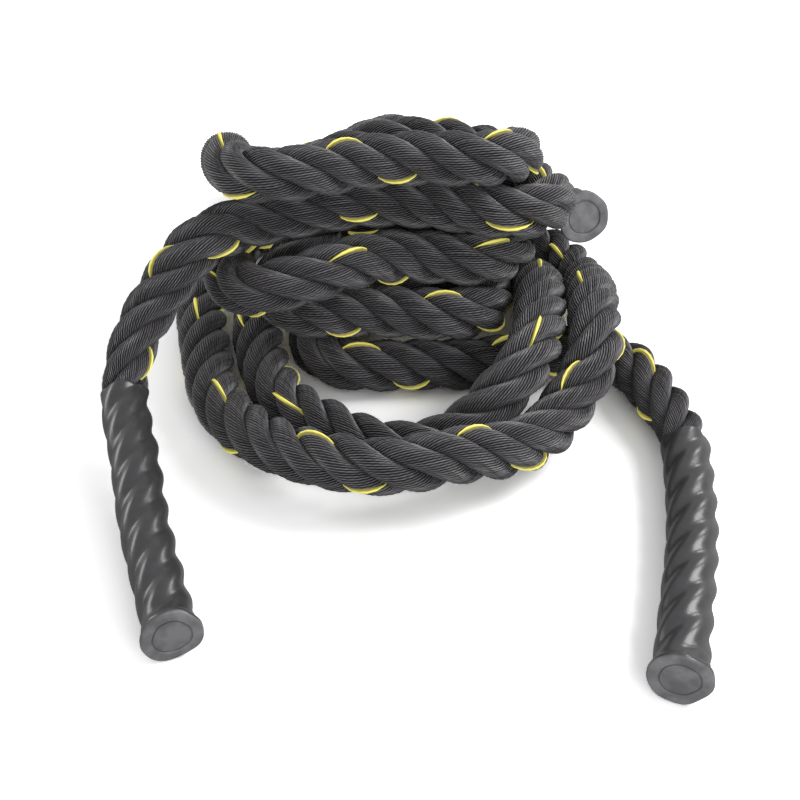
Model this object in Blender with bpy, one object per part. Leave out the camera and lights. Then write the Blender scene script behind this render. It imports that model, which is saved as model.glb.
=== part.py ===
"""Battle rope: a pair of laid ropes wound together in a heap, with a shrunk grip sleeve on each end.

Metres, +Z up. The heap lies on z = 0 and the handles point towards -Y, as seen from the front.
"""
import math

import bpy
import bmesh
import numpy as np
from mathutils import Vector
from mathutils.kdtree import KDTree

MM = 0.001

# Rope: three sizes and the lay, which the rope ends and the sleeves follow.
ROPE_DIAMETER = 38 * MM
STRANDS = 4
ROPE_LAY = 108 * MM
SQUEEZE = 0.3 * MM  # where two turns lie on each other, each gives way by this much

# Grip sleeve: a tube shrunk over the rope's end, which shows the strands as soft helical ridges.
SLEEVE_LENGTH = 214 * MM
SLEEVE_DIAMETER = 33 * MM
SLEEVE_WALL = 1.5 * MM
RIDGE_DEPTH = 1.5 * MM

# End disc: the closed, flared end of the sleeve, with a shallow round recess.
DISC_DIAMETER = 38 * MM
DISC_THICKNESS = 4 * MM
DISC_CHAMFER = 0.8 * MM
FLARE_LENGTH = 10 * MM
RECESS_RIM = 4 * MM
RECESS_DEPTH = 0.6 * MM

# Fits and fineness.
CLEARANCE = 0.3 * MM
RING_STEP = 13 * MM
POINTS_PER_STRAND = 5
TURN_PER_POINT = math.radians(18)
LONGEST_SEGMENT = 120 * MM
READ_STEP = 1 * MM
SQUARE_END = 3 * MM  # a stretch starts and ends straight for this far, square to what it meets

# How many points of its route each stretch outside the heap takes, counted from its sleeve.
LEAD_POINTS = 11
RIGHT_TAIL_POINTS = 9
LEFT_TAIL_POINTS = 9
RUN_POINTS = 8

# The middle of the four handles on the floor, which is the part's origin.
FRAME_MIDDLE = (2.5 * MM, 9 * MM)

# First rope in millimetres: from the upper handle's end disc, round the far back and up into the
# heap's top turn, down turn by turn to the floor, and out under the others to the right handle.
ROUTE_A = [
    (135, 100, 92), (122, 165, 70), (108, 230, 48), (94, 296, 26), (80, 330, 20), (52, 345, 20),
    (20, 334, 34), (-12, 303, 54), (-48, 264, 58), (-84, 226, 64), (-112, 180, 88), (-124, 130, 118),
    (-120, 75, 153), (-110, 44, 160), (-83, 34, 163), (-43, 46, 163), (-6, 52, 165), (28, 52, 166),
    (60, 52, 166),
    (82, 77, 156), (68, 110, 140), (36, 125, 138), (-2, 128, 138), (-42, 121, 130), (-82, 109, 113),
    (-109, 84, 96), (-123, 52, 80), (-102, 13, 86), (-72, 12, 93), (-14, 40, 95), (16, 47, 91),
    (48, 46, 90), (71, 54, 88), (80, 77, 88), (65, 101, 88), (33, 129, 78), (-6, 151, 61),
    (-49, 154, 54), (-82, 131, 38), (-104, 90, 24), (-99, 23, 19), (-76, -31, 19), (-48, -56, 19),
    (-20, -74, 19), (13, -78, 19), (44, -67, 26), (67, -54, 45), (80, -43, 56), (92, -18, 62),
    (98, 19, 60), (102, 70, 50), (101, 113, 28), (90, 142, 20), (62, 154, 19), (28, 132, 19),
    (-5, 106, 19), (-36, 88, 19), (-58, 68, 19), (-62, 42, 19), (-38, 18, 19), (0, 17, 19),
    (36, 18, 19), (72, 22, 19), (117, 33, 19), (145, 31, 19), (164, 16, 19), (179, -19, 19),
    (189, -53, 19), (189, -101, 19), (181, -169, 19), (170, -222, 19), (156, -285, 19),
]

# Second rope: from the left handle's end disc up over the heap's left side, down turn by turn to the
# outermost turn on the floor, over the right tail, and back to the handle behind the heap.
ROUTE_B = [
    (-131, -252, 19), (-145, -206, 20), (-160, -156, 24), (-174, -97, 32), (-186, -38, 46), (-179, -12, 66),
    (-159, 13, 92), (-138, 25, 114), (-110, 46, 118), (-70, 54, 124), (-35, 60, 127), (7, 61, 128),
    (42, 54, 128), (74, 47, 127), (97, 54, 125), (107, 80, 119), (99, 108, 113), (75, 142, 105),
    (28, 167, 101), (-24, 157, 98), (-58, 114, 79), (-78, 82, 67), (-89, 54, 61), (-76, 32, 58),
    (-42, 28, 58), (0, 28, 57), (38, 27, 56), (57, 37, 53), (63, 74, 46), (64, 104, 43),
    (71, 146, 56), (63, 182, 51), (28, 210, 28), (-21, 228, 20), (-75, 229, 19), (-119, 199, 19),
    (-146, 151, 19), (-151, 96, 19), (-139, 23, 19), (-129, -19, 19), (-108, -59, 23), (-79, -91, 30),
    (-45, -115, 38), (0, -125, 42), (31, -116, 42), (76, -95, 33), (105, -63, 31), (121, -41, 42),
    (131, -27, 54), (135, 4, 62), (139, 57, 53), (138, 125, 24), (125, 167, 19), (96, 200, 19),
    (58, 243, 19), (12, 270, 19), (-56, 284, 19), (-140, 288, 19),
]


def clear_scene():
    """Remove every object, so that the file holds this model only."""
    for item in list(bpy.data.objects):
        bpy.data.objects.remove(item, do_unlink=True)


class Route:
    """A rope's centre line: a natural cubic spline through its points, read by length along it."""

    def __init__(self, points):
        knots = np.array(points, float) * MM
        span = np.linalg.norm(np.diff(knots, axis=0), axis=1)
        at_knot = np.concatenate([[0], np.cumsum(span)])
        count = len(knots)
        rows = np.zeros((count, count))
        right = np.zeros((count, 3))
        rows[0, 0] = rows[-1, -1] = 1
        for i in range(1, count - 1):
            rows[i, i - 1:i + 2] = span[i - 1], 2 * (span[i - 1] + span[i]), span[i]
            right[i] = 6 * ((knots[i + 1] - knots[i]) / span[i] - (knots[i] - knots[i - 1]) / span[i - 1])
        bend = np.linalg.solve(rows, right)
        reads = np.linspace(0, at_knot[-1], int(4 * at_knot[-1] / READ_STEP))
        left = np.clip(np.searchsorted(at_knot, reads, side="right") - 1, 0, count - 2)
        past = (reads - at_knot[left])[:, None]
        wide = span[left][:, None]
        before = wide - past
        line = (bend[left] * before ** 3 + bend[left + 1] * past ** 3) / (6 * wide)
        line += (knots[left] / wide - bend[left] * wide / 6) * before
        line += (knots[left + 1] / wide - bend[left + 1] * wide / 6) * past
        length = np.concatenate([[0], np.cumsum(np.linalg.norm(np.diff(line, axis=0), axis=1))])
        self.length = float(length[-1])
        self.s = np.linspace(0, self.length, int(round(self.length / READ_STEP)) + 1)
        self.p = np.stack([np.interp(self.s, length, line[:, k]) for k in range(3)], axis=1)
        way = np.gradient(self.p, self.s, axis=0)
        self.t = way / np.linalg.norm(way, axis=1)[:, None]
        turn = np.linalg.norm(np.diff(self.t, axis=0), axis=1)
        self.turned = np.concatenate([[0], np.cumsum(turn)])
        self.knot_s = np.interp(at_knot, reads, length)

    def at(self, s):
        return np.array([np.interp(s, self.s, self.p[:, k]) for k in range(3)])

    def along(self, s):
        way = np.array([np.interp(s, self.s, self.t[:, k]) for k in range(3)])
        return way / np.linalg.norm(way)

    def stations(self, start, end):
        """Lengths from start to end, closer together where the rope bends more."""
        effort = self.turned / TURN_PER_POINT + self.s / LONGEST_SEGMENT
        first, last = np.interp([start, end], self.s, effort)
        count = int(math.ceil(last - first))
        return np.interp(np.linspace(first, last, count + 1), effort, self.s)


def material(name, rgb, roughness):
    made = bpy.data.materials.new(name)
    made.use_nodes = True
    shader = made.node_tree.nodes["Principled BSDF"]
    shader.inputs["Base Color"].default_value = (*rgb, 1)
    shader.inputs["Roughness"].default_value = roughness
    shader.inputs["Metallic"].default_value = 0
    made.diffuse_color = (*rgb, 1)
    return made


def place(name, data, surface, root):
    """One named object in the scene, under the part's root."""
    item = bpy.data.objects.new(name, data)
    data.materials.append(surface)
    bpy.context.collection.objects.link(item)
    item.parent = root
    return item


def ring(route, s, crest, ridge):
    """Points round the centre line at s: the strands make soft lobes, turned by the rope's lay."""
    way = route.along(s)
    side = np.cross(way, (0, 0, 1))
    side /= np.linalg.norm(side)
    up = np.cross(side, way)
    middle = route.at(s)
    count = STRANDS * POINTS_PER_STRAND
    points = []
    for i in range(count):
        around = 2 * math.pi * i / count
        radius = crest - ridge / 2 * (1 - math.cos(STRANDS * around))
        angle = around + 2 * math.pi * s / ROPE_LAY
        points.append(middle + radius * (math.cos(angle) * up + math.sin(angle) * side))
    return points


def loft(name, rings, surface, root):
    """A closed solid through rings of points, with a flat cap at both ends."""
    mesh = bpy.data.meshes.new(name)
    bm = bmesh.new()
    edges = []
    for points in rings:
        row = [bm.verts.new(Vector(p)) for p in points]
        edges.append([bm.edges.new((row[i], row[(i + 1) % len(row)])) for i in range(len(row))])
    for near, far in zip(edges, edges[1:]):
        for i, edge in enumerate(near):
            a, b = edge.verts
            c, d = far[i].verts
            bm.faces.new((a, b, d, c))
    for loop in (edges[0], edges[-1]):
        bmesh.ops.contextual_create(bm, geom=loop)
    bmesh.ops.recalc_face_normals(bm, faces=bm.faces)
    bmesh.ops.triangulate(bm, faces=bm.faces)
    bm.to_mesh(mesh)
    bm.free()
    mesh.shade_smooth()
    mesh.set_sharp_from_angle(angle=math.radians(50))
    return place(name, mesh, surface, root)


def body_steps(start, end):
    """Lengths from start to end in even steps of about the ring step."""
    return np.linspace(start, end, int(round((end - start) / RING_STEP)) + 1)


def grip_sleeve(name, route, surface, root):
    """The shrunk sleeve: ridged outside and inside, open at the mouth, closed by the flared disc."""
    crest = SLEEVE_DIAMETER / 2
    inner = crest - SLEEVE_WALL
    disc = DISC_DIAMETER / 2
    recess = disc - RECESS_RIM
    flare_end = DISC_THICKNESS + FLARE_LENGTH
    rings = [
        ring(route, RECESS_DEPTH, recess, 0),
        ring(route, 0, recess + RECESS_DEPTH, 0),
        ring(route, 0, disc - DISC_CHAMFER, 0),
        ring(route, DISC_CHAMFER, disc, 0),
        ring(route, DISC_THICKNESS - DISC_CHAMFER, disc, 0),
        ring(route, DISC_THICKNESS + FLARE_LENGTH / 3, (2 * crest + disc) / 3, RIDGE_DEPTH / 3),
    ]
    rings += [ring(route, s, crest, RIDGE_DEPTH) for s in body_steps(flare_end, SLEEVE_LENGTH)]
    rings += [ring(route, s, inner, RIDGE_DEPTH) for s in body_steps(flare_end, SLEEVE_LENGTH)[::-1]]
    rings.append(ring(route, DISC_THICKNESS, inner, RIDGE_DEPTH))
    return loft(name, rings, surface, root)


def rope_end(name, route, surface, root):
    """The rope inside the sleeve, drawn in by it, from the disc to the mouth."""
    crest = SLEEVE_DIAMETER / 2 - SLEEVE_WALL - CLEARANCE
    flare_end = DISC_THICKNESS + FLARE_LENGTH
    steps = [DISC_THICKNESS + CLEARANCE] + list(body_steps(flare_end, SLEEVE_LENGTH))
    return loft(name, [ring(route, s, crest, RIDGE_DEPTH) for s in steps], surface, root)


def tube(name, route, start, end, sides, surface, root, mouths=()):
    """A stretch of rope, drawn in towards the sleeves' mouths named by their length on the route."""
    curve = bpy.data.curves.new(name, "CURVE")
    curve.dimensions = "3D"
    curve.twist_mode = "MINIMUM"
    curve.bevel_depth = ROPE_DIAMETER / 2 - SQUEEZE
    curve.bevel_resolution = sides
    curve.use_fill_caps = True
    steps = route.stations(start + SQUARE_END, end - SQUARE_END)
    steps = [start, *steps, end]
    places = [route.at(s) for s in steps]
    places[1] = places[0] + SQUARE_END * route.along(start)
    places[-2] = places[-1] - SQUARE_END * route.along(end)
    spline = curve.splines.new("POLY")
    spline.points.add(len(steps) - 1)
    drawn = (SLEEVE_DIAMETER - RIDGE_DEPTH) / ROPE_DIAMETER
    for point, p, s in zip(spline.points, places, steps):
        point.co = (*p, 1)
        near = min([abs(s - mouth) for mouth in mouths], default=ROPE_LAY)
        point.radius = drawn + (1 - drawn) * min(near / ROPE_LAY, 1)
    spline.use_smooth = True
    return place(name, curve, surface, root)


def least_gap(first, second=None):
    """Least gap between two centre lines, or of one to itself past its own thickness."""
    own = second is None
    second = first if own else second
    tree = KDTree(len(second))
    for i, p in enumerate(second):
        tree.insert(p, i)
    tree.balance()
    apart = int(2 * ROPE_DIAMETER / READ_STEP)
    least = math.inf
    for i, p in enumerate(first):
        for _, j, distance in tree.find_range(p, 2 * ROPE_DIAMETER):
            if not own or abs(i - j) > apart:
                least = min(least, distance)
    return least - ROPE_DIAMETER + 2 * SQUEEZE


def build():
    clear_scene()
    root = bpy.data.objects.new("battle_rope", None)
    root.location = (-FRAME_MIDDLE[0], -FRAME_MIDDLE[1], 0)
    bpy.context.collection.objects.link(root)
    fibre = material("black_polyester_rope", (0.027, 0.024, 0.027), 0.8)
    shrink = material("black_shrink_sleeve", (0.07, 0.07, 0.075), 0.42)

    a, a_back = Route(ROUTE_A), Route(ROUTE_A[::-1])
    b, b_back = Route(ROUTE_B), Route(ROUTE_B[::-1])
    for side, route in (("upper", a), ("right", a_back), ("left", b), ("rear", b_back)):
        grip_sleeve("grip_sleeve_" + side, route, shrink, root)
        rope_end("rope_end_" + side, route, fibre, root)

    half = CLEARANCE / 2
    mouth = SLEEVE_LENGTH
    a_mouths = (mouth, a.length - mouth)
    b_mouths = (mouth, b.length - mouth)
    lead = a.knot_s[LEAD_POINTS]
    right = a.knot_s[-1 - RIGHT_TAIL_POINTS]
    left = b.knot_s[LEFT_TAIL_POINTS]
    run = b.knot_s[-1 - RUN_POINTS]
    tube("rope_a_lead", a, mouth + CLEARANCE, lead - half, 2, fibre, root, a_mouths)
    tube("rope_a_heap", a, lead + half, right - half, 1, fibre, root)
    tube("rope_a_tail", a, right + half, a.length - mouth - CLEARANCE, 2, fibre, root, a_mouths)
    tube("rope_b_tail", b, mouth + CLEARANCE, left - half, 2, fibre, root, b_mouths)
    tube("rope_b_heap", b, left + half, run - half, 1, fibre, root)
    tube("rope_b_run", b, run + half, b.length - mouth - CLEARANCE, 2, fibre, root, b_mouths)

    print("length of the first rope, m:", round(a.length, 3))
    print("length of the second rope, m:", round(b.length, 3))
    print("least gap of the first rope to itself, mm:", round(least_gap(a.p) / MM, 2))
    print("least gap of the second rope to itself, mm:", round(least_gap(b.p) / MM, 2))
    print("least gap between the ropes, mm:", round(least_gap(a.p, b.p) / MM, 2))


build()
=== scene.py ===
"""Battle rope: two laid ropes in a heap, with shrunk grip sleeves, on a pale studio floor."""
import math

import bmesh
import bpy
import numpy as np
from bpy.props import FloatProperty, IntProperty, PointerProperty, StringProperty
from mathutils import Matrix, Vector


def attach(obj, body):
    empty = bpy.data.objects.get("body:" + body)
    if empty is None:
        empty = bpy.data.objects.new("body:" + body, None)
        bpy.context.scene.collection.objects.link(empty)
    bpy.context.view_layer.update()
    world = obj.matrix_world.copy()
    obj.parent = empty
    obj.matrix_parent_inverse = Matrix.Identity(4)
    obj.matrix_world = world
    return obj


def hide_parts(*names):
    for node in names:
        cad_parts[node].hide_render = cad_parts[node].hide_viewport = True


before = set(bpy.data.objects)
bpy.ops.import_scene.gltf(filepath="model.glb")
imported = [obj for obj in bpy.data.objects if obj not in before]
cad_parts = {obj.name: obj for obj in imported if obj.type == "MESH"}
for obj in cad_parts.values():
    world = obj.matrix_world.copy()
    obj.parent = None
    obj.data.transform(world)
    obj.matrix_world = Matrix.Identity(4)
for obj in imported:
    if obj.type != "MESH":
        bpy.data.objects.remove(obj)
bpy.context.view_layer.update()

bl_info = {
    "name": "Battle Rope",
    "version": (1, 0, 0),
    "blender": (4, 5, 0),
    "location": "View3D > Sidebar > Battle Rope",
    "description": "Dresses a heap of rope: laid strands, marker yarns, grip sleeves and a studio",
    "category": "Add Mesh",
}

MM = 0.001

# The part's origin, in the frame of the routes below.
FRAME_MIDDLE = np.array([0.0025, 0.009, 0.0])

# First rope, in metres: from the upper handle's end disc round the far back, up into the heap's top
# turn, down turn by turn to the floor, and out under the others to the right handle.
ROUTE_A = [
    (0.135, 0.100, 0.092), (0.122, 0.165, 0.070), (0.108, 0.230, 0.048), (0.094, 0.296, 0.026),
    (0.080, 0.330, 0.020), (0.052, 0.345, 0.020), (0.020, 0.334, 0.034), (-0.012, 0.303, 0.054),
    (-0.048, 0.264, 0.058), (-0.084, 0.226, 0.064), (-0.112, 0.180, 0.088), (-0.124, 0.130, 0.118),
    (-0.120, 0.075, 0.153), (-0.110, 0.044, 0.160), (-0.083, 0.034, 0.163), (-0.043, 0.046, 0.163),
    (-0.006, 0.052, 0.165), (0.028, 0.052, 0.166), (0.060, 0.052, 0.166), (0.082, 0.077, 0.156),
    (0.068, 0.110, 0.140), (0.036, 0.125, 0.138), (-0.002, 0.128, 0.138), (-0.042, 0.121, 0.130),
    (-0.082, 0.109, 0.113), (-0.109, 0.084, 0.096), (-0.123, 0.052, 0.080), (-0.102, 0.013, 0.086),
    (-0.072, 0.012, 0.093), (-0.014, 0.040, 0.095), (0.016, 0.047, 0.091), (0.048, 0.046, 0.090),
    (0.071, 0.054, 0.088), (0.080, 0.077, 0.088), (0.065, 0.101, 0.088), (0.033, 0.129, 0.078),
    (-0.006, 0.151, 0.061), (-0.049, 0.154, 0.054), (-0.082, 0.131, 0.038), (-0.104, 0.090, 0.024),
    (-0.099, 0.023, 0.019), (-0.076, -0.031, 0.019), (-0.048, -0.056, 0.019), (-0.020, -0.074, 0.019),
    (0.013, -0.078, 0.019), (0.044, -0.067, 0.026), (0.067, -0.054, 0.045), (0.080, -0.043, 0.056),
    (0.092, -0.018, 0.062), (0.098, 0.019, 0.060), (0.102, 0.070, 0.050), (0.101, 0.113, 0.028),
    (0.090, 0.142, 0.020), (0.062, 0.154, 0.019), (0.028, 0.132, 0.019), (-0.005, 0.106, 0.019),
    (-0.036, 0.088, 0.019), (-0.058, 0.068, 0.019), (-0.062, 0.042, 0.019), (-0.038, 0.018, 0.019),
    (0.000, 0.017, 0.019), (0.036, 0.018, 0.019), (0.072, 0.022, 0.019), (0.117, 0.033, 0.019),
    (0.145, 0.031, 0.019), (0.164, 0.016, 0.019), (0.179, -0.019, 0.019), (0.189, -0.053, 0.019),
    (0.189, -0.101, 0.019), (0.181, -0.169, 0.019), (0.170, -0.222, 0.019), (0.156, -0.285, 0.019),
]

# Second rope, in metres: from the left handle's end disc up over the heap's left side, down turn by
# turn to the outermost turn, over the right tail, and back to the handle behind the heap.
ROUTE_B = [
    (-0.131, -0.252, 0.019), (-0.145, -0.206, 0.020), (-0.160, -0.156, 0.024), (-0.174, -0.097, 0.032),
    (-0.186, -0.038, 0.046), (-0.179, -0.012, 0.066), (-0.159, 0.013, 0.092), (-0.138, 0.025, 0.114),
    (-0.110, 0.046, 0.118), (-0.070, 0.054, 0.124), (-0.035, 0.060, 0.127), (0.007, 0.061, 0.128),
    (0.042, 0.054, 0.128), (0.074, 0.047, 0.127), (0.097, 0.054, 0.125), (0.107, 0.080, 0.119),
    (0.099, 0.108, 0.113), (0.075, 0.142, 0.105), (0.028, 0.167, 0.101), (-0.024, 0.157, 0.098),
    (-0.058, 0.114, 0.079), (-0.078, 0.082, 0.067), (-0.089, 0.054, 0.061), (-0.076, 0.032, 0.058),
    (-0.042, 0.028, 0.058), (0.000, 0.028, 0.057), (0.038, 0.027, 0.056), (0.057, 0.037, 0.053),
    (0.063, 0.074, 0.046), (0.064, 0.104, 0.043), (0.071, 0.146, 0.056), (0.063, 0.182, 0.051),
    (0.028, 0.210, 0.028), (-0.021, 0.228, 0.020), (-0.075, 0.229, 0.019), (-0.119, 0.199, 0.019),
    (-0.146, 0.151, 0.019), (-0.151, 0.096, 0.019), (-0.139, 0.023, 0.019), (-0.129, -0.019, 0.019),
    (-0.108, -0.059, 0.023), (-0.079, -0.091, 0.030), (-0.045, -0.115, 0.038), (0.000, -0.125, 0.042),
    (0.031, -0.116, 0.042), (0.076, -0.095, 0.033), (0.105, -0.063, 0.031), (0.121, -0.041, 0.042),
    (0.131, -0.027, 0.054), (0.135, 0.004, 0.062), (0.139, 0.057, 0.053), (0.138, 0.125, 0.024),
    (0.125, 0.167, 0.019), (0.096, 0.200, 0.019), (0.058, 0.243, 0.019), (0.012, 0.270, 0.019),
    (-0.056, 0.284, 0.019), (-0.140, 0.288, 0.019),
]

# Where the first rope's rear arc ends and its heap begins, counted in points of its route.
LEAD_ENDS_AT = 11


class Route:
    """A rope's centre line, read by length along it, with a frame that doesn't twist."""

    def __init__(self, points):
        # A smooth curve through the points, without bend at its ends.
        knots = np.array(points, float) - FRAME_MIDDLE
        span = np.linalg.norm(np.diff(knots, axis=0), axis=1)
        at_knot = np.concatenate([[0], np.cumsum(span)])
        count = len(knots)
        rows, right = np.zeros((count, count)), np.zeros((count, 3))
        rows[0, 0] = rows[-1, -1] = 1
        for i in range(1, count - 1):
            rows[i, i - 1:i + 2] = span[i - 1], 2 * (span[i - 1] + span[i]), span[i]
            slope_after = (knots[i + 1] - knots[i]) / span[i]
            slope_before = (knots[i] - knots[i - 1]) / span[i - 1]
            right[i] = 6 * (slope_after - slope_before)
        bend = np.linalg.solve(rows, right)
        # Its places, four to the millimetre, and then one to the millimetre of its own length.
        reads = np.linspace(0, at_knot[-1], int(4 * at_knot[-1] / MM))
        left = np.clip(np.searchsorted(at_knot, reads, side="right") - 1, 0, count - 2)
        past = (reads - at_knot[left])[:, None]
        wide = span[left][:, None]
        before = wide - past
        line = (bend[left] * before ** 3 + bend[left + 1] * past ** 3) / (6 * wide)
        line += (knots[left] / wide - bend[left] * wide / 6) * before
        line += (knots[left + 1] / wide - bend[left + 1] * wide / 6) * past
        length = np.concatenate([[0], np.cumsum(np.linalg.norm(np.diff(line, axis=0), axis=1))])
        self.length = float(length[-1])
        self.s = np.linspace(0, self.length, int(round(self.length / MM)) + 1)
        self.p = np.stack([np.interp(self.s, length, line[:, k]) for k in range(3)], axis=1)
        way = np.gradient(self.p, self.s, axis=0)
        self.t = way / np.linalg.norm(way, axis=1)[:, None]
        self.knot_s = np.interp(at_knot, reads, length)
        # An up vector, carried along without twist.
        up = np.zeros_like(self.p)
        up[0] = np.cross(np.cross(self.t[0], (0, 0, 1)), self.t[0])
        for i in range(1, len(up)):
            up[i] = up[i - 1] - self.t[i] * np.dot(up[i - 1], self.t[i])
            up[i] /= np.linalg.norm(up[i])
        up[0] /= np.linalg.norm(up[0])
        self.u = up

    def read(self, s):
        """Places, directions, up and side vectors at the lengths s."""
        place, way, up = (np.stack([np.interp(s, self.s, row[:, k]) for k in range(3)], axis=1)
                          for row in (self.p, self.t, self.u))
        way /= np.linalg.norm(way, axis=1)[:, None]
        up -= way * (up * way).sum(1)[:, None]
        up /= np.linalg.norm(up, axis=1)[:, None]
        return place, way, up, np.cross(way, up)


ROPE_A, ROPE_B = Route(ROUTE_A), Route(ROUTE_B)


def srgb(text):
    """A hex colour as written, turned linear, with alpha 1."""
    values = [int(text[i:i + 2], 16) / 255 for i in (1, 3, 5)]
    return [v / 12.92 if v <= 0.04045 else ((v + 0.055) / 1.055) ** 2.4 for v in values] + [1.0]


def node(tree, kind, links=(), **settings):
    """Add one node with its settings and links; a link is (input, source socket or value)."""
    made = tree.nodes.new(kind)
    for name, value in settings.items():
        setattr(made, name, value)
    for name, source in links:
        if isinstance(source, bpy.types.NodeSocket):
            tree.links.new(source, made.inputs[name])
        else:
            made.inputs[name].default_value = source
    return made


def new_material(name):
    """A new material, with its node tree and its shader."""
    made = bpy.data.materials.new(name)
    made.use_nodes = True
    tree = made.node_tree
    return made, tree, tree.nodes["Principled BSDF"]


def shade(colour, share):
    """A linear colour made darker or lighter, with alpha 1."""
    return [share * c for c in colour[:3]] + [1]


def ramp(tree, factor, *stops):
    """The colour read at factor from a ramp with two stops, each (place, colour)."""
    made = node(tree, "ShaderNodeValToRGB", [("Fac", factor)])
    for element, (place, colour) in zip(made.color_ramp.elements, stops):
        element.position = place
        element.color = colour
    return made.outputs["Color"]


# ---------------------------------------------------------------- sizes and colours


class RopeSettings(bpy.types.PropertyGroup):
    """The laid rope."""
    diameter: FloatProperty(
        name="Rope diameter", description="Over the strands", default=0.038, unit="LENGTH")
    strands: IntProperty(
        name="Strands", description="Strands laid together", default=4, min=3, max=4)
    lay: FloatProperty(
        name="Lay", description="Length of one full turn of a strand", default=0.108,
        unit="LENGTH")
    yarns: IntProperty(name="Yarns", description="Yarns round a strand", default=23)
    yarn_turn: FloatProperty(
        name="Yarn turn", description="Rope length in which a yarn goes round its strand",
        default=0.0355, unit="LENGTH")
    yarn_start: FloatProperty(
        name="Yarn start", description="Rope length at which the marker yarn lies inward",
        default=0.006, unit="LENGTH")
    yarn_depth: FloatProperty(
        name="Yarn depth", description="From a yarn's crest to the furrow beside it",
        default=0.0010, unit="LENGTH")
    ring_step: FloatProperty(
        name="Ring step", description="Length between rings of the mesh", default=0.0031,
        unit="LENGTH")
    colour: StringProperty(
        name="Rope colour", description="sRGB hex of the black polyester", default="#484649")
    marker: StringProperty(
        name="Marker colour", description="sRGB hex of the marker yarn", default="#FFF67C")
    # Painted shade: the colour the marker yarn is painted where it turns inward between the strands.
    marker_edge_shade: StringProperty(
        name="Marker edge colour", description="sRGB hex where the marker yarn turns inward",
        default="#4A3408")


class SleeveSettings(bpy.types.PropertyGroup):
    """The shrunk grip sleeve and its end disc."""
    length: FloatProperty(
        name="Sleeve length", description="From the end disc to the mouth", default=0.214,
        unit="LENGTH")
    diameter: FloatProperty(
        name="Sleeve diameter", description="Over the ridges", default=0.033, unit="LENGTH")
    wall: FloatProperty(
        name="Wall", description="Thickness of the shrunk tube", default=0.0015, unit="LENGTH")
    ridge: FloatProperty(
        name="Ridge depth", description="From crest to furrow", default=0.0024, unit="LENGTH")
    disc: FloatProperty(
        name="Disc diameter", description="Of the flared closed end", default=0.038,
        unit="LENGTH")
    disc_depth: FloatProperty(
        name="Disc thickness", description="Of the closed end", default=0.004, unit="LENGTH")
    flare: FloatProperty(
        name="Flare length", description="From the disc to the ridges", default=0.010,
        unit="LENGTH")
    colour: StringProperty(
        name="Sleeve colour", description="sRGB hex of the sleeve", default="#3E3E40")


class StudioSettings(bpy.types.PropertyGroup):
    """Floor, lamps and camera."""
    key: FloatProperty(
        name="Key lamp", description="Power of the lamp at the right", default=12.0,
        unit="POWER")
    rim: FloatProperty(
        name="Rim lamp", description="Power of the lamp behind at the right", default=3.0,
        unit="POWER")
    edge: FloatProperty(
        name="Edge lamp", description="Power of the low lamp at the left", default=3.0,
        unit="POWER")
    fill: FloatProperty(
        name="Fill lamp", description="Power of the lamp in front", default=8.0, unit="POWER")
    world: FloatProperty(name="World", description="Strength of the even light", default=0.5)
    lens: FloatProperty(
        name="Lens", description="Focal length on a 36 mm sensor", default=67.5)
    pitch: FloatProperty(
        name="Pitch", description="How far the camera looks down", default=math.radians(37),
        subtype="ANGLE")


# ---------------------------------------------------------------- making meshes

# A strand's radius as a share of the rope's, by the number of strands.
STRAND_SHARE = {3: 0.5, 4: 0.4}

# How deep the furrow is at the four columns of a yarn, as a share of the yarn depth.
FURROW = (1.0, 0.25, 0.0, 0.25)

# The same at the eight columns of the marker yarn, which takes the room of two.
MARKER_FURROW = (1.0, 0.45, 0.15, 0.03, 0.0, 0.03, 0.15, 0.45)

# How far the marker yarn stands out, and how unevenly the others do, in yarn depths.
MARKER_LIFT = 1.3
YARN_SPREAD = 0.12
YARN_SEED = 7

# Columns round a sleeve.
SLEEVE_AROUND = 96

MERGE_REACH = 1e-6


def swept(name, rings, marks):
    """A grid rolled into a tube: rings[i] holds one ring's points.

    marks holds a number for each column, a length for each ring and a material for each
    column. The first two are kept in the X and Y of the attribute "yarn".
    """
    count, around = rings.shape[0], rings.shape[1]
    bm = bmesh.new()
    bmesh.ops.create_grid(bm, x_segments=around, y_segments=count - 1, size=1)
    mesh = bpy.data.meshes.new(name)
    bm.to_mesh(mesh)
    bm.free()
    flat = np.empty(len(mesh.vertices) * 3)
    mesh.vertices.foreach_get("co", flat)
    flat = flat.reshape(-1, 3)
    column = np.rint((flat[:, 0] + 1) / 2 * around).astype(int)
    row = np.rint((flat[:, 1] + 1) / 2 * (count - 1)).astype(int)
    mesh.vertices.foreach_set("co", rings[row, column % around].ravel())
    corner = np.empty(len(mesh.loops), int)
    mesh.loops.foreach_get("vertex_index", corner)
    layer = mesh.attributes.new("yarn", "FLOAT_VECTOR", "CORNER")
    values = np.zeros((len(corner), 3))
    values[:, 0] = marks[0][column[corner]]
    values[:, 1] = marks[1][row[corner]]
    layer.data.foreach_set("vector", values.ravel())
    face_column = column[corner].reshape(-1, 4).min(1)
    mesh.polygons.foreach_set("material_index", marks[2][face_column].astype(np.int32))
    return mesh


def close_tube(bm, mesh):
    """Add a rolled grid to bm, its seam merged and its two ends filled."""
    start = len(bm.verts)
    bm.from_mesh(mesh)
    bm.verts.ensure_lookup_table()
    fresh = bm.verts[start:]
    bmesh.ops.remove_doubles(bm, verts=fresh, dist=MERGE_REACH)
    edges = [e for e in bm.edges if e.is_boundary]
    bmesh.ops.holes_fill(bm, edges=edges, sides=0)
    bpy.data.meshes.remove(mesh)


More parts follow.
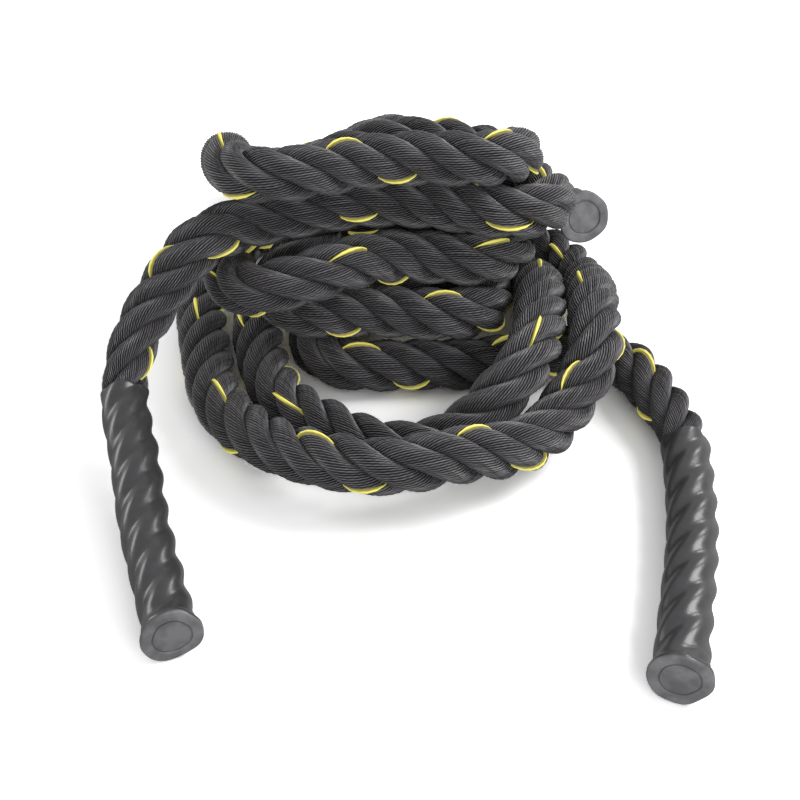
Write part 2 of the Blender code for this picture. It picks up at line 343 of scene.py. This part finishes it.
def finished(name, bm, materials):
    """Turn bm into a shaded object that rides on the part."""
    bmesh.ops.recalc_face_normals(bm, faces=bm.faces)
    mesh = bpy.data.meshes.new(name)
    bm.to_mesh(mesh)
    bm.free()
    mesh.shade_smooth()
    mesh.set_sharp_from_angle(angle=math.radians(60))
    for one in materials:
        mesh.materials.append(one)
    made = bpy.data.objects.new(name, mesh)
    bpy.context.scene.collection.objects.link(made)
    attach(made, "root")
    return made


def drawn_in(route, s, rope, sleeve):
    """The rope's diameter at s as a share of its full one: less near a sleeve's mouth.

    It swells to its full size within one lay, quickly at first.
    """
    near = np.minimum(np.abs(s - sleeve.length), np.abs(route.length - sleeve.length - s))
    least = (sleeve.diameter - 2 * sleeve.wall) / rope.diameter
    ease = np.clip(near / rope.lay, 0, 1)
    return least + (1 - least) * ease ** 0.6


def stretch(name, route, start, end, rope, sleeve, materials):
    """One stretch of laid rope: every strand a tube of yarn ridges that winds against the lay."""
    steps = int(math.ceil((end - start) / rope.ring_step))
    step = (end - start) / steps
    # One ring more at each end, so that the stretches join smoothly.
    s = start + step * np.arange(-1, steps + 2)
    place, way, up, side = route.read(s)
    full = rope.diameter / 2 * drawn_in(route, s, rope, sleeve)
    strand = full * STRAND_SHARE[rope.strands]
    middle = full - strand
    around = 4 * rope.yarns
    column = np.arange(around)
    furrow = np.array(FURROW)[column % 4]
    thicker = 4 * (rope.yarns // 2) + np.arange(8)  # the marker yarn's columns
    centre = 2 * math.pi * (thicker[0] + 4) / around
    random = np.random.default_rng(YARN_SEED)
    bm = bmesh.new()
    for k in range(rope.strands):
        angle = 2 * math.pi * (s / rope.lay + k / rope.strands)
        out = np.cos(angle)[:, None] * up + np.sin(angle)[:, None] * side
        path = place + middle[:, None] * out
        along = np.gradient(path, s, axis=0)
        along /= np.linalg.norm(along, axis=1)[:, None]
        face = out - along * (out * along).sum(1)[:, None]
        face /= np.linalg.norm(face, axis=1)[:, None]
        beside = np.cross(along, face)
        spin = -2 * math.pi * (s - rope.yarn_start) / rope.yarn_turn
        marker = k == 0
        lift = np.repeat(random.normal(0, YARN_SPREAD, rope.yarns), 4)
        groove = furrow.copy()
        if marker:
            lift[thicker] = MARKER_LIFT
            groove[thicker] = MARKER_FURROW
        rise = rope.yarn_depth * (lift * (1 - groove) - groove)
        turn = np.repeat(2 * math.pi * column[None] / around, len(s), 0)
        if marker:  # drawn in where it dives between the strands
            width = np.clip(np.cos(spin + centre), 0.01, 1)[:, None] ** 0.8
            edge = np.append(thicker, thicker[-1] + 1)
            turn[:, edge] = centre + (turn[:, edge] - centre) * width
        psi = spin[:, None] + turn
        radius = strand[:, None] + rise[None]
        rings = path[:, None] + radius[..., None] * (
            np.cos(psi)[..., None] * face[:, None] + np.sin(psi)[..., None] * beside[:, None])
        rings[..., 2] = np.maximum(rings[..., 2], 0.0)  # nothing goes below the floor
        yarn_at = np.concatenate([column, [around]]) / 4 + 40 * k  # no two strands share a yarn
        kind = np.zeros(around + 1, int)
        if marker:
            kind[thicker] = 1
        close_tube(bm, swept(name, rings[1:-1], (yarn_at, s[1:-1], kind)))
    made = finished(name, bm, materials)
    return made, [tuple(p) for p in place[1:-2:6]] + [tuple(place[-2])]


def sleeve_profile(sleeve):
    """The sleeve's outline from its disc's middle to inside its mouth.

    Each row holds the distance from the end face, the radius and the share of the ridges.
    """
    crest, disc, thick = sleeve.diameter / 2, sleeve.disc / 2, sleeve.disc_depth
    profile = [
        # The middle of the face, 0.4 mm deep, and the ring recess round it, 0.9 mm deep.
        (0.0004, 0.0100, 0), (0.0004, 0.0112, 0), (0.0009, 0.0114, 0), (0.0009, 0.0120, 0),
        # The face outside the recess, and the rim, rounded in front and behind.
        (0.0002, 0.0123, 0), (0.0, 0.0128, 0), (0.0, disc - 0.0012, 0),
        (0.0003, disc - 0.0004, 0), (0.0011, disc, 0),
        (thick - 0.0008, disc - 0.0001, 0), (thick, disc - 0.0005, 0),
    ]
    # The flare from the disc down to the grip, where the ridges grow.
    for share in (0.15, 0.35, 0.6, 0.8):
        ease = share ** 0.7
        profile.append((thick + share * sleeve.flare,
                        disc - 0.0005 + (crest - disc + 0.0005) * ease, share))
    # The grip, with a ring every 2.5 mm.
    profile += [(s, crest, 1)
                for s in np.arange(thick + sleeve.flare, sleeve.length - 0.0015, 0.0025)]
    # The rolled mouth, and the wall's inside, 12 mm deep.
    profile += [(sleeve.length - 0.0006, crest, 1), (sleeve.length, crest - 0.0005, 1),
                (sleeve.length, crest - sleeve.wall + 0.0003, 1),
                (sleeve.length - 0.012, crest - sleeve.wall, 1)]
    return [np.array(column) for column in zip(*profile)]


def sleeve_piece(name, route, back, rope, sleeve, material):
    """The shrunk sleeve on one end: soft ridges over the strands, a rolled mouth and the disc."""
    disc = sleeve.disc / 2
    s, radius, ridged = sleeve_profile(sleeve)
    depth = sleeve.ridge * ridged
    at = route.length - s if back else s
    place, way, up, side = route.read(at)
    turn = 2 * math.pi * np.arange(SLEEVE_AROUND) / SLEEVE_AROUND
    phase = 2 * math.pi * at / rope.lay
    lobe = np.abs(np.cos((turn[None] - phase[:, None]) * rope.strands / 2))
    soft = 1 - lobe ** 1.4  # rounder crests and tighter furrows than a plain wave
    # The disc was pressed by hand, so its rim isn't quite round and isn't quite flat.
    uneven = (0.026 * np.sin(2 * turn + 0.7) + 0.020 * np.sin(3 * turn + 2.0)
              + 0.009 * np.sin(7 * turn))
    bent = 0.0009 * (radius / disc)[:, None] ** 3 * (
        np.sin(2 * turn + 2.4) + 0.5 * np.sin(5 * turn))[None]
    loose = 1 - ridged
    wide = radius[:, None] * (1 + loose[:, None] * uneven[None]) - depth[:, None] * soft
    out = np.cos(turn)[None, :, None] * up[:, None] + np.sin(turn)[None, :, None] * side[:, None]
    rings = place[:, None] + wide[..., None] * out
    rings += (loose[:, None] * bent)[..., None] * way[:, None]
    rings[..., 2] = np.maximum(rings[..., 2], 0.0)  # nothing goes below the floor
    bm = bmesh.new()
    marks = (np.arange(SLEEVE_AROUND + 1) / SLEEVE_AROUND, s, np.zeros(SLEEVE_AROUND + 1, int))
    close_tube(bm, swept(name, rings, marks))
    return finished(name, bm, [material])


# ---------------------------------------------------------------- materials


def polyester_yarn(rope):
    """Black spun polyester, laid: painted shade in the furrows, and a painted grey glint along the
    crest of each yarn.
    """
    made, tree, shader = new_material("laid black polyester")
    place = node(tree, "ShaderNodeAttribute", attribute_name="yarn")
    parts = node(tree, "ShaderNodeSeparateXYZ", [("Vector", place.outputs["Vector"])])
    yarn, length = parts.outputs["X"], parts.outputs["Y"]
    whole = node(tree, "ShaderNodeMath", [(0, yarn)], operation="FLOOR")
    tone = node(tree, "ShaderNodeTexWhiteNoise", [("W", whole.outputs[0])],
                noise_dimensions="1D")
    # Bundles of filaments run along each yarn: streaks 0.6 mm wide and about 6 mm long.
    streaks_across, streaks_in_metre = 3.5, 160.0
    across = node(tree, "ShaderNodeMath", [(0, yarn), (1, streaks_across)],
                  operation="MULTIPLY")
    along = node(tree, "ShaderNodeMath", [(0, length), (1, streaks_in_metre)],
                 operation="MULTIPLY")
    joined = node(tree, "ShaderNodeCombineXYZ",
                  [("X", across.outputs[0]), ("Y", along.outputs[0])])
    fibre = node(tree, "ShaderNodeTexNoise",
                 [("Vector", joined.outputs[0]), ("Scale", 1.0), ("Detail", 2.0)])
    # From 0 in the furrow to 0.5 on the crest of each yarn, with a little of its own tone; this drives
    # the painted shade and painted highlight.
    crest = node(tree, "ShaderNodeMath", [(0, yarn), (1, 0.5)], operation="PINGPONG")
    toned = node(tree, "ShaderNodeMath",
                 [(0, tone.outputs["Value"]), (1, 0.12), (2, crest.outputs[0])],
                 operation="MULTIPLY_ADD")
    # Painted glints: the plies of a yarn cross it every 3 mm, at a slant, and are painted lighter in
    # dots where they would catch the light.
    ply_slant, ply_radians_in_metre, ply_share = 2.6, 2094.0, 0.06
    skew = node(tree, "ShaderNodeMath", [(0, yarn), (1, ply_slant)], operation="MULTIPLY")
    place_on = node(tree, "ShaderNodeMath",
                    [(0, length), (1, ply_radians_in_metre), (2, skew.outputs[0])],
                    operation="MULTIPLY_ADD")
    wave = node(tree, "ShaderNodeMath", [(0, place_on.outputs[0])], operation="SINE")
    ply_glints = node(tree, "ShaderNodeMath",
                 [(0, wave.outputs[0]), (1, ply_share), (2, toned.outputs[0])],
                 operation="MULTIPLY_ADD")
    mixed = node(tree, "ShaderNodeMath",
                 [(0, fibre.outputs["Fac"]), (1, 0.3), (2, ply_glints.outputs[0])],
                 operation="MULTIPLY_ADD")
    # Painted shade makes the furrows nearly black, and painted highlight makes the crests three times
    # as light as the rope's mean colour.
    base = srgb(rope.colour)
    colour = ramp(tree, mixed.outputs[0], (0.38, shade(base, 0.03)), (0.78, shade(base, 3.1)))
    tree.links.new(colour, shader.inputs["Base Color"])
    bump = node(tree, "ShaderNodeBump",
                [("Height", fibre.outputs["Fac"]), ("Strength", 0.5), ("Distance", 0.0003)])
    tree.links.new(bump.outputs["Normal"], shader.inputs["Normal"])
    shader.inputs["Roughness"].default_value = 0.42
    shader.inputs["Specular IOR Level"].default_value = 0.6
    # Loose fibre ends give the rope a faint sheen.
    shader.inputs["Sheen Weight"].default_value = 0.25
    shader.inputs["Sheen Roughness"].default_value = 0.4
    return made


def marker_yarn(rope):
    """Yellow dyed polyester, two yarns wide: matt, bright on its crest, with painted shade turning it
    brown at its edges and a painted glow.
    """
    made, tree, shader = new_material("yellow marker yarn")
    place = node(tree, "ShaderNodeAttribute", attribute_name="yarn")
    # Streaks of filaments, 0.5 mm wide and about 6 mm long.
    size = node(tree, "ShaderNodeMapping",
                [("Vector", place.outputs["Vector"]), ("Scale", (4.0, 180.0, 1.0))])
    fibre = node(tree, "ShaderNodeTexNoise", [("Vector", size.outputs[0]), ("Scale", 1.0)])
    # The yarn is two units wide, so this runs from 0 on its crest to 1 at its edges.
    parts = node(tree, "ShaderNodeSeparateXYZ", [("Vector", place.outputs["Vector"])])
    edge = node(tree, "ShaderNodeMath", [(0, parts.outputs["X"]), (1, 1.0)],
                operation="PINGPONG")
    mixed = node(tree, "ShaderNodeMath",
                 [(0, fibre.outputs["Fac"]), (1, 0.5), (2, edge.outputs[0])],
                 operation="MULTIPLY_ADD")
    base = srgb(rope.marker)
    # Painted shade: yellow on the crest, brown towards the edges, where the yarn dives between the
    # strands.
    colour = ramp(tree, mixed.outputs[0], (0.65, base), (1.0, srgb(rope.marker_edge_shade)))
    tree.links.new(colour, shader.inputs["Base Color"])
    # Painted glow: the yarn gives off a little light of its own, so it looks brighter than a plain
    # yellow one.
    shader.inputs["Emission Color"].default_value = base
    shader.inputs["Emission Strength"].default_value = 0.26
    shader.inputs["Roughness"].default_value = 0.6
    return made


def shrunk_tube(sleeve):
    """Black shrunk polyolefin: smooth, with a soft gloss that follows the ridges, and painted light on
    the end disc's face.
    """
    made, tree, shader = new_material("black shrunk polyolefin")
    place = node(tree, "ShaderNodeTexCoord")
    base = srgb(sleeve.colour)
    # Faint flow of the shrunk skin, about 6 mm across.
    flow = node(tree, "ShaderNodeTexNoise",
                [("Vector", place.outputs["Object"]), ("Scale", 160.0), ("Detail", 3.0)])
    skin = ramp(tree, flow.outputs["Fac"], (0.35, shade(base, 0.88)), (0.65, shade(base, 1.1)))
    # The face of the end disc, 2 mm deep, is more matt than the drawn skin and painted paler, as
    # painted light where it faces the front, in patches of uneven tone about 11 mm across.
    length = node(tree, "ShaderNodeAttribute", attribute_name="yarn")
    parts = node(tree, "ShaderNodeSeparateXYZ", [("Vector", length.outputs["Vector"])])
    face = node(tree, "ShaderNodeMapRange",
                [("Value", parts.outputs["Y"]), ("From Min", 0.0020), ("From Max", 0.0002)])
    patch = node(tree, "ShaderNodeTexNoise",
                 [("Vector", place.outputs["Object"]), ("Scale", 90.0), ("Detail", 4.0)])
    painted_lit_face = ramp(tree, patch.outputs["Fac"], (0.38, shade(base, 2.7)), (0.62, shade(base, 4.6)))
    pale = node(tree, "ShaderNodeMix",
                [("Factor", face.outputs["Result"]), ("A", skin), ("B", painted_lit_face)],
                data_type="RGBA")
    tree.links.new(pale.outputs["Result"], shader.inputs["Base Color"])
    matt = node(tree, "ShaderNodeMapRange",
                [("Value", face.outputs["Result"]), ("To Min", 0.28), ("To Max", 0.5)])
    tree.links.new(matt.outputs["Result"], shader.inputs["Roughness"])
    shader.inputs["Specular IOR Level"].default_value = 0.7
    bump = node(tree, "ShaderNodeBump",
                [("Height", flow.outputs["Fac"]), ("Strength", 0.25), ("Distance", 0.0004)])
    tree.links.new(bump.outputs["Normal"], shader.inputs["Normal"])
    return made


def white_paper():
    """White paper: matt, lighter to the camera than to the light it throws back."""
    made, tree, shader = new_material("white paper floor")
    shader.inputs["Roughness"].default_value = 0.9
    shader.inputs["Specular IOR Level"].default_value = 0.1
    colour, more_in_view = 0.5, 1.3
    ray = node(tree, "ShaderNodeLightPath")
    pale = node(tree, "ShaderNodeMath",
                [(0, ray.outputs["Is Camera Ray"]), (1, more_in_view), (2, colour)],
                operation="MULTIPLY_ADD")
    tree.links.new(pale.outputs[0], shader.inputs["Base Color"])
    return made


# ---------------------------------------------------------------- operators

# In metres, before the origin moves to the middle of the handles.
CAMERA_PLACE = (0, -0.8587, 0.647)
SENSOR_WIDTH = 36  # mm
FLOOR_REACH = 6  # from the middle to each side

# Length of the free stretch at a handle, in rope diameters.
FREE_STRETCH = 7

# How far a rope's drawn strands reach into its sleeve's mouth.
INSIDE_MOUTH = 0.004


class BATTLEROPE_OT_studio(bpy.types.Operator):
    """Make the camera, the lamps, the world and the pale floor"""
    bl_idname = "battle_rope.studio"
    bl_label = "Studio"

    def execute(self, context):
        studio = context.scene.battle_rope_studio
        camera = bpy.data.objects.new("camera", bpy.data.cameras.new("camera"))
        camera.data.lens = studio.lens
        camera.data.sensor_width = SENSOR_WIDTH
        camera.location = Vector(CAMERA_PLACE) - Vector(FRAME_MIDDLE)
        camera.rotation_euler = (math.pi / 2 - studio.pitch, 0, 0)
        context.scene.collection.objects.link(camera)
        context.scene.camera = camera
        # Name, power, size, place and the point that the lamp looks at, in watts and metres.
        for name, power, size, place, target in (
                ("key", studio.key, 0.7, (1.1, 0.1, 1.0), (0, 0.05, 0.05)),
                ("rim", studio.rim, 0.35, (0.95, 0.9, 0.8), (0, 0.05, 0.05)),
                ("edge", studio.edge, 0.5, (-1.1, 0.35, 0.4), (0, 0, 0.05)),
                ("fill", studio.fill, 0.8, (0.5, -1.5, 0.6), (0, 0, 0.05))):
            lamp = bpy.data.lights.new(name, "AREA")
            lamp.energy = power
            lamp.size = size
            made = bpy.data.objects.new(name, lamp)
            made.location = place
            aim = Vector(target) - Vector(place)
            made.rotation_euler = aim.to_track_quat("-Z", "Y").to_euler()
            context.scene.collection.objects.link(made)
        world = bpy.data.worlds.new("studio")
        world.use_nodes = True
        context.scene.world = world
        tree = world.node_tree
        tree.nodes["Background"].inputs["Color"].default_value = (1, 1, 1, 1)
        # White where it is seen, and weaker as a light.
        ray = node(tree, "ShaderNodeLightPath")
        seen = node(tree, "ShaderNodeMath",
                    [(0, ray.outputs["Is Camera Ray"]), (1, ray.outputs["Is Transmission Ray"])],
                    operation="MAXIMUM")
        level = node(tree, "ShaderNodeMath",
                     [(0, seen.outputs[0]), (1, 1 - studio.world), (2, studio.world)],
                     operation="MULTIPLY_ADD")
        tree.links.new(level.outputs[0], tree.nodes["Background"].inputs["Strength"])
        bm = bmesh.new()
        bmesh.ops.create_grid(bm, x_segments=1, y_segments=1, size=FLOOR_REACH)
        mesh = bpy.data.meshes.new("floor")
        bm.to_mesh(mesh)
        bm.free()
        floor = bpy.data.objects.new("floor", mesh)
        context.scene.collection.objects.link(floor)
        mesh.materials.append(white_paper())
        context.scene.view_settings.view_transform = "Standard"
        return {"FINISHED"}


class BATTLEROPE_OT_ropes(bpy.types.Operator):
    """Lay both ropes, stretch by stretch, strand by strand"""
    bl_idname = "battle_rope.ropes"
    bl_label = "Ropes"

    def execute(self, context):
        rope, sleeve = context.scene.battle_rope_rope, context.scene.battle_rope_sleeve
        materials = [polyester_yarn(rope), marker_yarn(rope)]
        a, b = ROPE_A, ROPE_B
        mouth = sleeve.length - INSIDE_MOUTH
        free = FREE_STRETCH * rope.diameter
        lead, right = a.knot_s[LEAD_ENDS_AT], a.length - mouth - free
        left, run = mouth + free, b.length - mouth - free
        # Each heap is cut in three, so that no piece grows too heavy.
        (a_one, a_two), (b_one, b_two) = (
            [start + part * (end - start) / 3 for part in (1, 2)]
            for start, end in ((lead, right), (left, run)))
        for name, route, start, end, cad, lay in (
                ("rope_a_lead_laid", a, mouth, lead, "rope_a_lead", "loose"),
                ("rope_a_heap_upper_laid", a, lead, a_one, "rope_a_heap", "coiled"),
                ("rope_a_heap_middle_laid", a, a_one, a_two, "rope_a_heap", "coiled"),
                ("rope_a_heap_lower_laid", a, a_two, right, "rope_a_heap", "coiled"),
                ("rope_a_tail_laid", a, right, a.length - mouth, "rope_a_tail", "loose"),
                ("rope_b_tail_laid", b, mouth, left, "rope_b_tail", "loose"),
                ("rope_b_heap_upper_laid", b, left, b_one, "rope_b_heap", "coiled"),
                ("rope_b_heap_middle_laid", b, b_one, b_two, "rope_b_heap", "coiled"),
                ("rope_b_heap_lower_laid", b, b_two, run, "rope_b_heap", "coiled"),
                ("rope_b_run_laid", b, run, b.length - mouth, "rope_b_run", "loose")):
            made, path = stretch(name, route, start, end, rope, sleeve, materials)
            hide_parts(cad)
        return {"FINISHED"}


class BATTLEROPE_OT_sleeves(bpy.types.Operator):
    """Shrink a grip sleeve over each rope end"""
    bl_idname = "battle_rope.sleeves"
    bl_label = "Grip sleeves"

    def execute(self, context):
        rope, sleeve = context.scene.battle_rope_rope, context.scene.battle_rope_sleeve
        skin = shrunk_tube(sleeve)
        for side, route, back in (("upper", ROPE_A, False), ("right", ROPE_A, True),
                                  ("left", ROPE_B, False), ("rear", ROPE_B, True)):
            made = sleeve_piece("sleeve_" + side + "_shrunk", route, back, rope, sleeve, skin)
            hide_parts("grip_sleeve_" + side)
            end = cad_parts["rope_end_" + side]
            end.data.materials.clear()
            end.data.materials.append(bpy.data.materials["laid black polyester"])
        return {"FINISHED"}


class BATTLEROPE_PT_panel(bpy.types.Panel):
    """Lists the sizes and the steps"""
    bl_idname = "BATTLEROPE_PT_panel"
    bl_label = "Battle Rope"
    bl_space_type = "VIEW_3D"
    bl_region_type = "UI"
    bl_category = "Battle Rope"

    def draw(self, context):
        scene = context.scene
        for group, names in (
                (scene.battle_rope_rope, ("diameter", "lay", "yarns", "colour", "marker")),
                (scene.battle_rope_sleeve, ("length", "diameter", "wall", "ridge", "colour")),
                (scene.battle_rope_studio, ("key", "rim", "edge", "fill", "world", "lens",
                                            "pitch"))):
            box = self.layout.box()
            for name in names:
                box.prop(group, name)
        for step in STEPS:
            self.layout.operator(step)


STEPS = ("battle_rope.studio", "battle_rope.ropes", "battle_rope.sleeves")
CLASSES = (RopeSettings, SleeveSettings, StudioSettings, BATTLEROPE_OT_studio,
           BATTLEROPE_OT_ropes, BATTLEROPE_OT_sleeves, BATTLEROPE_PT_panel)


def register():
    for one in CLASSES:
        bpy.utils.register_class(one)
    bpy.types.Scene.battle_rope_rope = PointerProperty(type=RopeSettings)
    bpy.types.Scene.battle_rope_sleeve = PointerProperty(type=SleeveSettings)
    bpy.types.Scene.battle_rope_studio = PointerProperty(type=StudioSettings)


def unregister():
    del bpy.types.Scene.battle_rope_studio
    del bpy.types.Scene.battle_rope_sleeve
    del bpy.types.Scene.battle_rope_rope
    for one in reversed(CLASSES):
        bpy.utils.unregister_class(one)


def main():
    register()
    bpy.ops.battle_rope.studio()
    bpy.ops.battle_rope.ropes()
    bpy.ops.battle_rope.sleeves()


if __name__ == "__main__":
    main()
